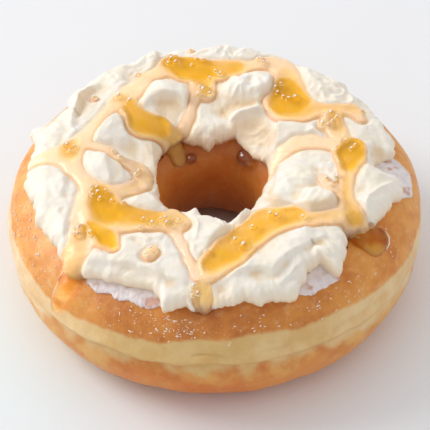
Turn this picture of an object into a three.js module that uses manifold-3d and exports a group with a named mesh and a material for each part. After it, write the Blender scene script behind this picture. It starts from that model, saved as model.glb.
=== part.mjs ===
import * as THREE from 'three';
import { mergeVertices } from 'three/addons/utils/BufferGeometryUtils.js';
import Module from 'manifold-3d';

// A ring doughnut of fried yeast dough, with a thick spread of whipped cream and a honey drizzle.
// Millimetres and degrees. The ring lies round the Z axis and rests on Z = 0. The angle round the
// ring is counted from +X towards +Y, so 270 is the front. The angle round the dough's section,
// called the lift, is 0 at the widest line of the ring, 90 on top and 180 at the hole.

// Driving dimensions of the dough.
const OUTER_RADIUS = 46;
const SECTION_WIDTH = 35.6;
const SECTION_HEIGHT = 29.4;
const SECTION_POWER = 2.5; // 2 makes an ellipse, more makes it squarer
const SETTLED = 0.4; // what the ring's own weight flattens off the section
const CREASE_DEPTH = 0.9; // the fold below the pale waist
const CREASE_SPREAD = 5; // degrees of lift

// Driving dimensions of the cream and the honey.
const CREAM_DEPTH = 4.4;
const THINNEST = 1.2;
const EDGE_ROUNDING = 4; // how far in from its edge the cream reaches its full depth
const EDGE_POWER = 2.4;
const TIP_SHARE = 0.3; // height of the overhanging edge, as a share of the depth there
const OVERHANG = 1.1; // how far the edge reaches past where the cream touches the dough
const HONEY_DEPTH = 0.3; // depth of honey for each millimetre of a strand's half width
const HONEY_LIMIT = 1.3;
const DRIP_END_POWER = 4; // how blunt the end of a drip is
const CLEARANCE = 0.3; // gap between the cream and the dough
const ARC_PER_DEGREE = 0.28; // length of the dough's outline over one degree of lift

// Fineness of the faceted solids.
const DOUGH_COLUMNS = 72;
const DOUGH_ROWS = 28;
const CREAM_COLUMNS = 144;
const CREAM_ROWS = 20;
const FOOT_ROWS = 8;
const DRIP_ROWS = 12;
const DRIP_SIDES = 8;

// Where the cream ends towards the outside: [angle round the ring, lift].
const OUTER_EDGE = [
  [3, 45], [12, 46], [19, 49], [28, 49], [40, 52], [55, 54], [75, 52], [90, 54], [105, 51], [118, 54],
  [130, 52], [145, 51], [158, 48], [168, 45], [178, 48], [186, 46], [198, 48], [202, 46], [212, 48],
  [219, 46], [227, 48], [234, 49], [240, 53], [246, 54], [251, 57], [254, 54], [256, 45], [259, 48],
  [266, 47], [275, 50], [281, 51], [285, 48], [296, 46], [299, 52], [303, 58], [308, 58], [311, 48],
  [316, 54], [320, 58], [326, 57], [335, 54], [345, 48], [353, 42],
];

// Where it ends towards the hole.
const INNER_EDGE = [
  [0, 141], [20, 142], [40, 146], [55, 144], [70, 140], [85, 145], [97, 149], [110, 145], [122, 139],
  [150, 140], [180, 141], [200, 141], [215, 140], [230, 140], [243, 142], [250, 150], [257, 142],
  [272, 136], [300, 137], [320, 140], [340, 141],
];

// Depth of the cream at its inner edge, as a share of its full depth: thinner towards the viewer.
const INNER_DEPTH = [[0, 0.95], [90, 1.1], [180, 0.95], [225, 0.7], [250, 0.75], [280, 0.5], [310, 0.6]];

// Puffs, lumps and hollows of the cream, seen from above:
// [x, y, half length, half width, turn, height, flatness of the crown].
const MOUNDS = [
  [-10.5, 21.5, 6.2, 3.4, -8, 2.0, 2], // smooth petal behind the hole, on the left
  [7.5, 23.5, 6.5, 3.8, 15, 2.2, 2], // rough lump behind the hole, on the right
  [-1, 12.5, 5.5, 2.2, 8, 0.9, 2], // roll that hangs over the back of the hole
  [10.5, 11, 3.2, 4.6, 25, 1.1, 2], // curl right of that roll
  [7.5, 16.3, 4.2, 1.1, -8, -1.6, 1], // undercut shadow between lump and curl
  [-23.5, 11, 5, 2, 58, 1.5, 1], // fan on the left
  [-18.5, 4, 4.5, 3.5, 20, -0.7, 1], // its smooth slope towards the hole
  [-26.3, -1.5, 2.3, 4.6, 22, 1.7, 2], // two puffs in the left mesh of the drizzle
  [-21.3, -4.6, 2.0, 3.2, 15, 0.9, 1],
  [-14.8, -11.5, 3.2, 2.8, 0, 1.3, 2], // wedge left of the hole
  [-36, -9, 3.4, 8.5, 8, 0.7, 2], // smooth outer field, left
  [-33.4, -19.5, 3, 4.6, 28, 0.6, 2],
  [-33.2, 17.5, 1.8, 8.5, -12, 1.7, 1], // flap that stands up behind a crease, back left
  [-30, 18, 1.5, 8, -13, -1.2, 1],
  [-22, 28.5, 6, 1.6, 24, 1.2, 1], // ridge along the back left edge
  [-13.5, 34.5, 3.4, 2.4, 60, 1.9, 1], // ragged peak, back left
  [4, 35, 7.5, 2.6, -3, 1.3, 2], // mound behind the back band
  [24.5, 24.5, 8, 4, -42, 1.1, 2], // bumpy slope, back right
  [20, 9, 5.5, 2.3, -8, 0.7, 2], // smooth step, right
  [18.8, -4, 6, 3.6, 50, 2.1, 2], // rough lump, right
  [21.5, -12.8, 5.4, 3.2, 8, 0.8, 2], // smooth tongue, right
  [34.5, -6.5, 2.8, 6.5, -18, 1.1, 2], // facets of the outer right
  [36.5, 5, 2.6, 5, 18, -1.4, 1], // thin smear below them
  [-0.8, -20.5, 3.6, 6, -8, 1.3, 2], // rough mound in front of the hole
  [-3.9, -13.2, 1.2, 2.4, -15, 1.4, 1], // its pointed tip
  [9.5, -14.6, 4.2, 1.2, 28, 0.8, 1], // ragged rim, right of the tip
  [-12.5, -28, 5.4, 3.4, -28, 0.7, 2], // broad facet, front left
  [-18, -30.6, 8.5, 1.4, -8, 0.8, 1], // its bright lip
  [-17.5, -36, 7, 1.6, -20, -1.3, 1], // undercut below the lip
  [19.5, -26.5, 7.2, 1.9, 52, 1.5, 1], // folds, front right
  [15.3, -25.3, 5.5, 1.1, 50, -1.0, 1],
  [23.6, -27.5, 2.2, 2.6, 50, 0.9, 2],
  [10.5, -31.3, 6, 1.8, 12, 1.0, 1], // fold and crease of the front lip
  [7, -34.6, 6.5, 0.9, 6, -1.1, 1],
  [11.5, -37.5, 6.5, 2.0, 8, 0.8, 2],
];

// Hollows that the honey has filled: [x, y, half length, half width, turn, depth].
const POOLS = [
  [-23.5, -17, 4, 6.5, 10, 1.3],
  [-12, -19, 5, 3.2, -5, 0.8],
  [-3, 28.5, 7.5, 3, 0, 1.2],
  [17.5, 17.5, 4.6, 5, 0, 1.3],
  [-15.5, 12.5, 3.6, 4.2, 35, 1.1],
  [30, 1.5, 3.4, 4.5, 0, 1.0],
  [9.5, -20.5, 6, 3.2, 30, 0.9],
];

// Strands of the drizzle, seen from above: [x, y, half width] along each.
const STRANDS = [
  [[-16, 27, 1.5], [-12.5, 28.4, 2.4], [-8.5, 30, 4.2], [-3, 29, 3.7], [2, 29.3, 2.9], [6, 29.4, 2],
    [10, 31, 1.7], [14.5, 31.5, 2.4]],
  [[-3, 28, 3.6], [-2.2, 23, 2.3], [-1.6, 20.4, 1.8]],
  [[14.5, 31.5, 2.4], [16.8, 27.5, 2.5], [17, 22.5, 3.4], [17.5, 17.2, 5.2], [20.6, 15.3, 3.2],
    [24.5, 15.1, 1.6], [28.5, 15.4, 1.3], [32.2, 15.6, 1.7], [33.4, 12.5, 1.6]],
  [[17, 17.5, 3.6], [12.4, 18.2, 1.5]],
  [[27.7, 13, 1.8], [28, 9.5, 1.8], [28, 5.5, 1.7]],
  [[32, 3.6, 2.9], [30, 1.6, 4.1], [29.3, -2.5, 2.5], [28.9, -7, 1.8], [28.8, -12, 1.8],
    [29.4, -16, 2.6], [31.2, -19.8, 2.9], [32.6, -22.4, 1.9]],
  [[26, 2.6, 1.7], [21.5, 4, 1.6], [17.4, 2.8, 1.7], [15, 0.3, 1.3], [15.4, -2.3, 0.8]],
  [[29.2, -17.4, 2], [25, -18.3, 1.9], [21, -18.9, 2], [16, -18.6, 3.9], [10.5, -19.8, 4.6],
    [6.4, -24.5, 4], [2.2, -29.6, 4.3], [-1, -34, 3.2], [-2.4, -37.5, 2.5], [-2.5, -40, 2.6]],
  [[-8, -22.5, 1.8], [-6.3, -26.5, 1.3], [-4.9, -31, 1.2], [-3.4, -35, 1.6]],
  [[-9, -14.5, 1.8], [-9.2, -18.6, 4.4], [-14.5, -18.9, 3.7], [-20, -18.4, 4.6], [-25, -17.2, 4.7],
    [-24, -12.2, 3.2], [-27, -6.4, 1.8], [-31.2, -2.4, 2.6], [-32, 2.2, 3.3], [-28.6, 7.6, 1.9],
    [-26.8, 11, 1.4], [-25.2, 15, 1.5], [-22.4, 19.4, 2.5], [-19.2, 22.2, 2.7], [-16, 25.6, 2.2]],
  [[-37.5, 1.2, 2.2], [-32.5, 1, 3.4]],
  [[-20, 19, 3], [-17.4, 14, 3.3], [-14.6, 11, 3.4], [-11, 9.4, 1.9], [-8.9, 7.4, 1.5]],
  [[-4.4, 24, 1.1], [-4.4, 19.4, 1], [-6, 14.6, 1.1], [-7.6, 10.6, 1.3]],
  [[-25.4, 4.4, 1.5], [-22.4, 1.9, 1.2], [-19.4, 0, 1.6], [-15.8, -1.9, 1.8], [-15, -4.8, 2.2],
    [-17.2, -7.8, 1.9], [-20.2, -10.4, 2], [-23.4, -12.4, 2.4]],
  [[-28.6, -12, 1.5], [-28.9, -18, 1.6], [-28.6, -22.5, 2], [-28.4, -27, 3], [-29.2, -30, 2.7]],
  [[-25.8, -21, 2.4], [-22.8, -24.4, 2.8], [-21.4, -26.6, 1.8]],
  [[24, -5, 1.8], [25.6, -8.4, 1.6], [28, -10, 1.6]],
  [[-13, -29, 1.9], [-13.6, -29.8, 1.9]],
];

// Honey that has run off the cream and down the dough: angle round the ring, the lifts between
// which it lies, half of its width in degrees, and its depth.
const DRIPS = [
  { angle: 223.8, start: 62, reach: 15, spread: 2.3, depth: 1.4 },
  { angle: 329.5, start: 66, reach: 40, spread: 4.4, depth: 1.8 },
];

const radians = THREE.MathUtils.degToRad;
const smooth = THREE.MathUtils.smoothstep;

// Value at an angle in a list of [angle, value] pairs that runs once round the ring.
function roundTheRing(pairs, angle) {
  const turned = THREE.MathUtils.euclideanModulo(angle, 360);
  const last = pairs.length - 1;
  const closed = [[pairs[last][0] - 360, pairs[last][1]], ...pairs, [pairs[0][0] + 360, pairs[0][1]]];
  const next = closed.findIndex(([at]) => at > turned);
  const [from, low] = closed[next - 1];
  const [to, high] = closed[next];
  return low + (high - low) * smooth(turned, from, to);
}

// Slight unevenness of the hand-cut ring, as a share of its section.
function doughSwell(angle, lift) {
  const a = radians(angle);
  const l = radians(lift);
  return (
    0.008 * Math.sin(2 * a + 0.6) + 0.006 * Math.sin(3 * a + 2 * l + 1.9) + 0.005 * Math.sin(5 * a - l + 0.4)
  );
}

// Depth of the wavy fold that runs round the outside, below the pale waist.
function creaseDepth(angle, lift) {
  const a = radians(angle);
  const line = 1 + 3 * Math.sin(2 * a + 0.5) + 1.5 * Math.sin(5 * a + 1.2);
  const strength = 0.65 + 0.35 * Math.sin(3 * a + 2.2);
  const away = (lift - line) / CREASE_SPREAD;
  return CREASE_DEPTH * strength * Math.exp(-away * away);
}

// Point of the dough's skin and its outward normal, in the plane of the section.
function doughSkin(angle, lift) {
  const halfWidth = SECTION_WIDTH / 2;
  const halfHeight = SECTION_HEIGHT / 2;
  const c = Math.cos(radians(lift));
  const s = Math.sin(radians(lift));
  const sum = Math.abs(c / halfWidth) ** SECTION_POWER + Math.abs(s / halfHeight) ** SECTION_POWER;
  const wrapped = lift > 180 ? lift - 360 : lift;
  const reach = sum ** (-1 / SECTION_POWER) * (1 + doughSwell(angle, lift)) - creaseDepth(angle, wrapped);
  const slopeR = Math.sign(c) * Math.abs(reach * c) ** (SECTION_POWER - 1) / halfWidth ** SECTION_POWER;
  const slopeZ = Math.sign(s) * Math.abs(reach * s) ** (SECTION_POWER - 1) / halfHeight ** SECTION_POWER;
  const length = Math.hypot(slopeR, slopeZ);
  return {
    r: OUTER_RADIUS - halfWidth + reach * c,
    z: halfHeight + reach * s - SETTLED,
    normalR: slopeR / length,
    normalZ: slopeZ / length,
  };
}

// Point at a height above the dough's skin, as x, y, z.
function above(angle, lift, height) {
  const skin = doughSkin(angle, lift);
  const r = skin.r + skin.normalR * height;
  const a = radians(angle);
  return [r * Math.cos(a), r * Math.sin(a), Math.max(skin.z + skin.normalZ * height, 0)];
}

// Closed ring of quads: columns round the ring, each an equally long closed loop of points.
function closedRing(columns) {
  const positions = columns.flat(2);
  const rows = columns[0].length;
  const indices = [];
  columns.forEach((_, i) => {
    const here = i * rows;
    const beside = ((i + 1) % columns.length) * rows;
    for (let j = 0; j < rows; j += 1) {
      const k = (j + 1) % rows;
      indices.push(here + j, beside + j, beside + k, here + j, beside + k, here + k);
    }
  });
  const geometry = new THREE.BufferGeometry();
  geometry.setAttribute('position', new THREE.Float32BufferAttribute(positions, 3));
  geometry.setIndex(indices);
  geometry.computeVertexNormals();
  return geometry;
}

// Closed tube of quads between loops of points, with a fan over each end.
function closedTube(loops) {
  const rows = loops[0].length;
  const positions = loops.flat(2);
  const indices = [];
  for (let i = 1; i < loops.length; i += 1) {
    const here = (i - 1) * rows;
    const beside = i * rows;
    for (let j = 0; j < rows; j += 1) {
      const k = (j + 1) % rows;
      indices.push(here + j, here + k, beside + k, here + j, beside + k, beside + j);
    }
  }
  const last = (loops.length - 1) * rows;
  for (let j = 1; j < rows - 1; j += 1) {
    indices.push(0, j + 1, j, last, last + j, last + j + 1);
  }
  const geometry = new THREE.BufferGeometry();
  geometry.setAttribute('position', new THREE.Float32BufferAttribute(positions, 3));
  geometry.setIndex(indices);
  geometry.computeVertexNormals();
  return geometry;
}

function doughGeometry() {
  const columns = [];
  for (let i = 0; i < DOUGH_COLUMNS; i += 1) {
    const angle = (i * 360) / DOUGH_COLUMNS;
    const loop = [];
    for (let j = 0; j < DOUGH_ROWS; j += 1) {
      loop.push(above(angle, (j * 360) / DOUGH_ROWS, 0));
    }
    columns.push(loop);
  }
  return closedRing(columns);
}

// Height of one puff or hollow at a place seen from above.
function moundHeight([x, y, halfLength, halfWidth, turn, height, flatness], atX, atY) {
  const c = Math.cos(radians(turn));
  const s = Math.sin(radians(turn));
  const along = ((atX - x) * c + (atY - y) * s) / halfLength;
  const across = ((atY - y) * c - (atX - x) * s) / halfWidth;
  return height * Math.exp(-((along * along + across * across) ** flatness));
}

// Depth of the drizzle at a place seen from above: each strand is round on top.
function honeyDepth(atX, atY) {
  let deepest = 0;
  for (const strand of STRANDS) {
    for (let i = 1; i < strand.length; i += 1) {
      const [x0, y0, w0] = strand[i - 1];
      const [x1, y1, w1] = strand[i];
      const span = (x1 - x0) ** 2 + (y1 - y0) ** 2;
      const along = THREE.MathUtils.clamp(((atX - x0) * (x1 - x0) + (atY - y0) * (y1 - y0)) / span, 0, 1);
      const away = Math.hypot(atX - x0 - along * (x1 - x0), atY - y0 - along * (y1 - y0));
      const halfWidth = w0 + (w1 - w0) * along;
      const roundness = Math.sqrt(Math.max(0, 1 - (away / halfWidth) ** 2));
      deepest = Math.max(deepest, Math.min(HONEY_DEPTH * halfWidth, HONEY_LIMIT) * roundness);
    }
  }
  return deepest;
}

// Rounding of the cream towards an edge, from TIP_SHARE at the edge to 1.
function edgeShare(distance) {
  const inside = THREE.MathUtils.clamp(distance / EDGE_ROUNDING, 0, 1);
  const rounded = (1 - (1 - inside) ** EDGE_POWER) ** (1 / EDGE_POWER);
  return TIP_SHARE + (1 - TIP_SHARE) * rounded;
}

// Height of the topping over the dough, where outer and inner are the cream's edges.
function toppingHeight(angle, lift, outer, inner) {
  const [x, y] = above(angle, lift, CREAM_DEPTH);
  const innerShare = roundTheRing(INNER_DEPTH, angle);
  const towardsHole = smooth(lift, 95, inner);
  let height = CREAM_DEPTH * (1 + (innerShare - 1) * towardsHole);
  for (const mound of MOUNDS) {
    height += moundHeight(mound, x, y);
  }
  for (const pool of POOLS) {
    height -= moundHeight([...pool, 1], x, y);
  }
  const share = edgeShare((lift - outer) * ARC_PER_DEGREE) * edgeShare((inner - lift) * ARC_PER_DEGREE);
  return Math.max(height, THINNEST) * share + honeyDepth(x, y);
}

// Main body of the topping: the cream and the honey that lies on it.
function spreadGeometry() {
  const columns = [];
  for (let i = 0; i < CREAM_COLUMNS; i += 1) {
    const angle = (i * 360) / CREAM_COLUMNS;
    const outer = roundTheRing(OUTER_EDGE, angle);
    const inner = roundTheRing(INNER_EDGE, angle);
    const loop = [];
    for (let j = 0; j <= CREAM_ROWS; j += 1) {
      const even = j / CREAM_ROWS;
      const crowded = (1 - Math.cos(Math.PI * even)) / 2;
      const lift = outer + ((inner - outer) * (even + crowded)) / 2;
      loop.push(above(angle, lift, CLEARANCE + toppingHeight(angle, lift, outer, inner)));
    }
    const overhang = OVERHANG / ARC_PER_DEGREE;
    const footInner = inner - overhang;
    const footOuter = outer + overhang;
    for (let j = 0; j <= FOOT_ROWS; j += 1) {
      loop.push(above(angle, footInner + ((footOuter - footInner) * j) / FOOT_ROWS, CLEARANCE));
    }
    columns.push(loop);
  }
  return closedRing(columns);
}

// One tongue of honey on the bare dough: flat below, round on top and at its end.
function dripGeometry({ angle, start, reach, spread, depth }) {
  const loops = [];
  for (let i = 0; i <= DRIP_ROWS; i += 1) {
    const along = i / DRIP_ROWS;
    const lift = start + (reach - start) * Math.sin((along * Math.PI) / 2);
    const taper = Math.max(Math.sqrt(1 - along ** DRIP_END_POWER), 0.1);
    const loop = [];
    for (let j = 0; j <= DRIP_SIDES; j += 1) {
      const across = 1 - (2 * j) / DRIP_SIDES;
      const height = depth * taper * Math.sqrt(1 - across ** 2) + 0.1;
      loop.push(above(angle + spread * taper * across, lift, CLEARANCE + height));
    }
    for (let j = 0; j <= DRIP_SIDES; j += 1) {
      const across = (2 * j) / DRIP_SIDES - 1;
      loop.push(above(angle + spread * taper * across, lift, CLEARANCE));
    }
    loops.push(loop);
  }
  return closedTube(loops);
}

// One solid of several closed geometries that overlap.
function joined(geometries, wasm) {
  const solids = geometries.map((geometry) => {
    const bare = geometry.clone();
    bare.deleteAttribute('normal');
    const merged = mergeVertices(bare);
    const vertProperties = new Float32Array(merged.getAttribute('position').array);
    const triVerts = new Uint32Array(merged.getIndex().array);
    return new wasm.Manifold(new wasm.Mesh({ numProp: 3, vertProperties, triVerts }));
  });
  const mesh = solids.reduce((whole, solid) => whole.add(solid)).getMesh();
  const geometry = new THREE.BufferGeometry();
  geometry.setAttribute('position', new THREE.BufferAttribute(mesh.vertProperties, 3));
  geometry.setIndex(new THREE.BufferAttribute(mesh.triVerts, 1));
  geometry.computeVertexNormals();
  return geometry;
}

const doughMaterial = new THREE.MeshStandardMaterial({ color: 0xc98545, roughness: 0.5, metalness: 0 });
const creamMaterial = new THREE.MeshStandardMaterial({ color: 0xf7f2e6, roughness: 0.45, metalness: 0 });

const dough = new THREE.Mesh(doughGeometry(), doughMaterial);
dough.name = 'dough_ring';

const wasm = await Module();
wasm.setup();
const topping = new THREE.Mesh(joined([spreadGeometry(), ...DRIPS.map(dripGeometry)], wasm), creamMaterial);
topping.name = 'cream_topping';

const doughnut = new THREE.Group();
doughnut.add(dough, topping);

export default doughnut;
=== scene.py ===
"""A ring doughnut with whipped cream and honey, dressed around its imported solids.

Shapes are worked out in millimetres and degrees and become metres as their meshes are made. The
angle round the ring is counted from +X towards +Y, so 270 is the front. The lift is the angle
round the dough's section: 0 at the ring's widest line, 90 on top, 180 at the hole.
"""

import itertools
import math

import bpy
import numpy as np
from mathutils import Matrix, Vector


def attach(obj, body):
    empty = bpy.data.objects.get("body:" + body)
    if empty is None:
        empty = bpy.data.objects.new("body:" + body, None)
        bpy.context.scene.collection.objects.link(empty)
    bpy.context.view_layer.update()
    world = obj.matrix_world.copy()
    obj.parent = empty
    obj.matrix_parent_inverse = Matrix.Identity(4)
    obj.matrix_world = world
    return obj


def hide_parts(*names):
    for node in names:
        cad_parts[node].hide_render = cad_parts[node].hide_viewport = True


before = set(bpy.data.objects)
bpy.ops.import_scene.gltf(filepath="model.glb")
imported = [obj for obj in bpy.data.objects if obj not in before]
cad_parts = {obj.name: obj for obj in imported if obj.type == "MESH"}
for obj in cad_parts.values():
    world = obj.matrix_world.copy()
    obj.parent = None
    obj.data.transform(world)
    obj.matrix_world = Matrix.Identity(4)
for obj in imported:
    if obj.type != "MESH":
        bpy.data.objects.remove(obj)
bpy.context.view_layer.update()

METRES = 0.001

# The dough, as in the solids.
OUTER_RADIUS = 46.0
SECTION_WIDTH = 35.6
SECTION_HEIGHT = 29.4
SECTION_POWER = 2.5
SETTLED = 0.4
DOUGH_COLUMNS = 600
WAIST_LIFTS = (-22, 46)
WAIST_ROWS = 84
OTHER_ROWS = 76

# The seam round the dough's waist, and the lower edge of its browned top: angle, lift.
CREASE_LINE = (
    (0, 4), (40, 2), (90, 4), (140, 2), (180, 3), (210, 5), (224, 6.5), (235, 8), (240, 10), (246, 8.5),
    (262, 8), (270, 10), (280, 9), (290, 10), (300, 11), (307, 9.5), (315, 6.5), (335, 4),
)
FRIED_EDGE = (
    (0, 15), (40, 20), (80, 17), (120, 22), (160, 18), (185, 19), (203, 18), (214, 17), (226, 17),
    (238, 20.5), (247, 21), (254, 23), (264, 27), (274, 28), (277, 30), (286, 30), (296, 26.5),
    (304, 26.5), (313, 25.5), (323, 21.5), (333, 17),
)
CREASE_STRENGTH = (
    (0, 0.3), (60, 0.6), (120, 0.5), (180, 0.3), (215, 0.5), (235, 1.5), (262, 1.4), (272, 0.8), (285, 0.7),
    (297, 1.2), (312, 0.9), (330, 0.3),
)

# How dark the dough's colours are round the ring: lightest on the left, darkest at the front.
BROWNED = (
    (0, 0.3), (60, 0.5), (120, 0.4), (180, 0), (205, 0), (218, 0.2), (230, 0.5), (245, 0.85),
    (270, 1), (295, 0.7), (330, 0.4),
)

# The cream.
CREAM_DEPTH = 4.4
THINNEST = 1.2
EDGE_ROUNDING = 4.0
EDGE_POWER = 2.4
TIP_SHARE = 0.3
OVERHANG = 1.1
ARC_PER_DEGREE = 0.28
EDGE_RADIUS = 40.0
CREAM_COLUMNS = 1000
CREAM_ROWS = 84
FOOT_ROWS = 8
FOOT_SUNK = 0.4
ICING_ROWS = 34

# The honey.
HONEY_COLUMNS = 1040
HONEY_ROWS = 150
HONEY_LIFTS = (12.0, 160.0)
HONEY_MARGIN = 0.45
HONEY_DEPTH = 1.25
HONEY_ROUNDING = 1.7
HONEY_SUNK = 0.1
STRAND_BLEND = 0.45
DRIP_BLEND = 0.35
DOME_SPREAD = 1.3
DOME_RISE = 0.8
HOOP_WIDTH = 0.13
HOOP_HEIGHT = 0.1

# Where the cream ends towards the outside: angle round the ring, lift.
OUTER_EDGE = (
    (0, 63), (3, 63), (5.5, 56), (8.5, 47), (12, 46), (19, 49), (28, 49), (40, 52), (55, 54),
    (75, 52), (90, 54), (105, 51), (118, 53), (130, 47), (135, 44), (140, 47), (146, 50.5),
    (150, 55), (152.5, 56), (155, 45), (158, 38.5), (161, 38.5), (165, 43), (169, 48), (178, 48),
    (186, 46), (198, 48), (202, 46), (212, 48), (219, 44.5), (224, 41), (228, 45), (234, 50),
    (240, 53), (246, 54.5), (250, 55.5), (253, 52), (255.5, 43.5), (257.5, 45), (260, 47.5),
    (266, 47), (275, 50), (281, 51), (285, 48), (295, 45), (299, 52.5), (303, 59), (308.5, 60),
    (310.5, 46), (315, 52.5), (320, 58.5), (324, 64), (329, 58), (335, 54), (345, 48), (352, 42.5),
    (354.5, 46), (356, 53), (358, 60),
)

# Where it ends towards the hole.
INNER_EDGE = (
    (0, 143), (20, 142), (40, 146), (55, 144), (70, 140), (85, 145), (97, 149), (110, 145), (122, 139),
    (150, 140), (180, 141), (200, 141), (215, 140), (230, 140), (243, 142), (250, 150), (257, 142),
    (272, 136), (300, 140), (320, 144), (341, 145),
)

# Depth of the cream at its inner edge, as a share of its full depth.
INNER_DEPTH = (
    (0, 1), (90, 1.1), (180, 0.95), (225, 0.7), (250, 0.75), (280, 0.55), (300, 0.8), (325, 1),
)

# Puffs, lumps and hollows: x, y, half length, half width, turn, height, flatness of the crown.
MOUNDS = (
    (-10.8, 22, 5.6, 2.5, -4, 1.1, 3),
    (-9, 16.2, 4.6, 2.6, -25, -0.9, 2),
    (8.4, 23.6, 6.8, 3.7, 14, 1.7, 4),
    (11.6, 22.6, 2.6, 2.6, 0, 0.6, 2),
    (4.8, 22.4, 2.6, 2, 10, 0.4, 2),
    (-1, 12.5, 5.5, 2.2, 8, 0.9, 2),
    (5.5, 17.4, 6.8, 1.5, 4, -1.3, 1),
    (8.8, 10.6, 4, 4, 25, -1.7, 2),
    (-17.5, 4.5, 5, 3.6, 55, -0.8, 1),
    (-26.3, -1.5, 2.3, 4.4, 18, 0.7, 2),
    (-21.8, -3.6, 2, 3.6, 12, 0.4, 1),
    (-14.9, -11.8, 3, 2.8, 0, 1.1, 2),
    (-14.2, -4.5, 2, 4.5, 0, 1.5, 2),
    (-36, -9, 3.4, 8.5, 8, 0.6, 2),
    (-38.5, 17.5, 4.5, 4.5, 0, -2.2, 2),
    (-33.5, 26.5, 4, 3, 0, -0.7, 2),
    (-33.4, -19.5, 3, 4.6, 28, 0.5, 2),
    (-22, 28.5, 6, 1.6, 24, 0.5, 1),
    (-14.5, 33.5, 3.4, 2.6, 60, 0.8, 2),
    (4, 34.5, 7.5, 3, -3, 0.8, 2),
    (24.5, 24.5, 8, 4, -42, 0.5, 2),
    (20, 8.2, 5, 2, -8, 0.5, 2),
    (17, -5, 4.6, 5.4, 10, 1.5, 2),
    (22.6, -12.6, 4.6, 3.2, 12, 1.2, 3),
    (15.5, -10.8, 3, 3, 0, 0.5, 2),
    (12.8, -6.4, 0.8, 2.4, -14, -1.4, 1),
    (34.5, -3.5, 2.6, 6.5, -8, 0.5, 2),
    (37, 6, 2.6, 5, 18, -0.8, 1),
    (37.5, 1, 4, 4.5, 0, -1.9, 2),
    (-1, -20.5, 3.4, 6, -8, 1.1, 3),
    (-3.9, -13.2, 1.2, 2.4, -15, 1.4, 1),
    (9, -14.6, 4.6, 1.2, 28, 0.9, 1),
    (-13.5, -26.2, 5.4, 2.2, -8, 0.5, 2),
    (22.8, -28, 1.5, 1.9, 50, 0.9, 3),
    (11.5, -37.5, 6.5, 2, 8, 0.5, 2),
    (1.5, -38, 1.6, 1.6, 0, -0.9, 1),
)

# Folds left by the knife: height of the raised side, how far it runs out, depth of the crease beside
# it, then x, y along the crest. The raised side is to the left of the way the points run.
FOLDS = (
    (1.5, 3.2, 0.6, ((-16.2, 17.2), (-14.2, 19.2), (-11.4, 20.2), (-8.4, 19.8), (-5.2, 18))),
    (1.4, 1.7, 0.9, ((-31.7, 9.5), (-31.3, 14), (-30, 19.5), (-28, 23.5), (-26, 25.5))),
    (0.9, 4, 0.8, ((-27, -29.6), (-22, -30.6), (-16, -32), (-11, -34.6), (-5.5, -36.6))),
    (1.2, 4, 0.4, ((1, -36.4), (3.5, -34.6), (7, -33.4), (10.5, -33.2), (12.2, -33.8), (14.4, -31.4),
                     (17, -28.4), (20.5, -25.6), (24.5, -23.2))),
    (0.8, 3, 0.4, ((13.5, -36.8), (16.6, -33.6), (19, -31), (21, -29.2))),
    (0.9, 3, 0.2, ((39.5, -5.5), (36, -9), (33.2, -12.4), (32.2, -15.5), (33.4, -18.6))),
    (0.7, 3, 0.1, ((33.4, -18.6), (32.2, -15.5), (33.2, -12.4), (36, -9), (39.5, -5.5))),
    (1.9, 4.5, 0.8, ((3.5, 14.6), (6, 15.7), (10, 16.2), (13, 15), (14.8, 12), (14.6, 8), (13.4, 4.5))),
    (0.9, 3.5, 0.3, ((-31.4, -5.8), (-35.5, -3.4), (-40.5, -2.4))),
    (0.5, 1.6, 0.3, ((-33, -12.4), (-32.4, -8.5), (-32.2, -5.6))),
    (0.5, 1.6, 0.2, ((-32.4, -19), (-33.4, -16), (-32.8, -14.6))),
    (0.9, 2.4, 0.5, ((-22.4, -8), (-23.4, -3.5), (-24, 2.2))),
    (0.6, 1.8, 0.4, ((-19.4, -6), (-20.4, -2), (-21.4, 0.8))),
    (1.5, 5, 0.4, ((-18.6, 14), (-21.4, 14), (-24.4, 11.6), (-26.6, 8), (-26.8, 4.6))),
    (0.7, 1.5, 0, ((-13.2, -1), (-13.4, 4), (-13.8, 8.5))),
    (0.5, 3, 0.5, ((-27.5, 27), (-22, 29.3), (-17, 31.4), (-15.2, 34))),
    (0.5, 2.6, 0.5, ((-12.4, 32), (-13.2, 34.4), (-12.5, 37))),
    (0.7, 3, 0.5, ((-6, 33.8), (-1, 35.6), (5, 35.4), (10, 33.6))),
    (0.7, 2.6, 0.5, ((19.2, 30.5), (21.4, 27), (22.4, 23), (25, 19.6))),
    (0.6, 2, 0.5, ((25.5, 28.5), (26.8, 25), (29.2, 22.4), (30, 19.4))),
    (0.9, 3, 0.6, ((3.4, -17.4), (5.8, -17.2), (7.6, -16), (8.6, -15.2))),
    (0.8, 2.4, 0.6, ((0.6, -26.4), (2, -23.6), (2.6, -20.4), (4.4, -18.4))),
    (1, 3.2, 0.5, ((11.2, -10.5), (13.2, -13.4), (16.4, -14.9), (20.7, -16.2), (24.6, -14.8),
                     (26.2, -11.5))),
    (0.9, 2.6, 0.5, ((0.8, 21.6), (3.2, 19.6), (6.5, 19), (10.5, 19), (13.6, 21))),
    (0.5, 2.2, 0.5, ((-3.8, -25.4), (-3.2, -21), (-3.8, -17))),
    (0.6, 2, 0.6, ((-19.6, -24.4), (-16.6, -24.2), (-14, -25.4), (-10.6, -25))),
)

# Where the whipped cream is torn into small lumps: x, y, radius.
LUMPY = (
    (16, -5, 5), (13, -1, 3), (25, 24, 7), (7.5, -15.5, 4), (3, -17.5, 3), (7.5, 22.5, 4.5), (-13, 34, 4),
    (-22, 29.5, 5), (3.5, 36, 5), (10, 9, 4), (-38, 8, 4), (30, 20, 4),
)
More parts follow.
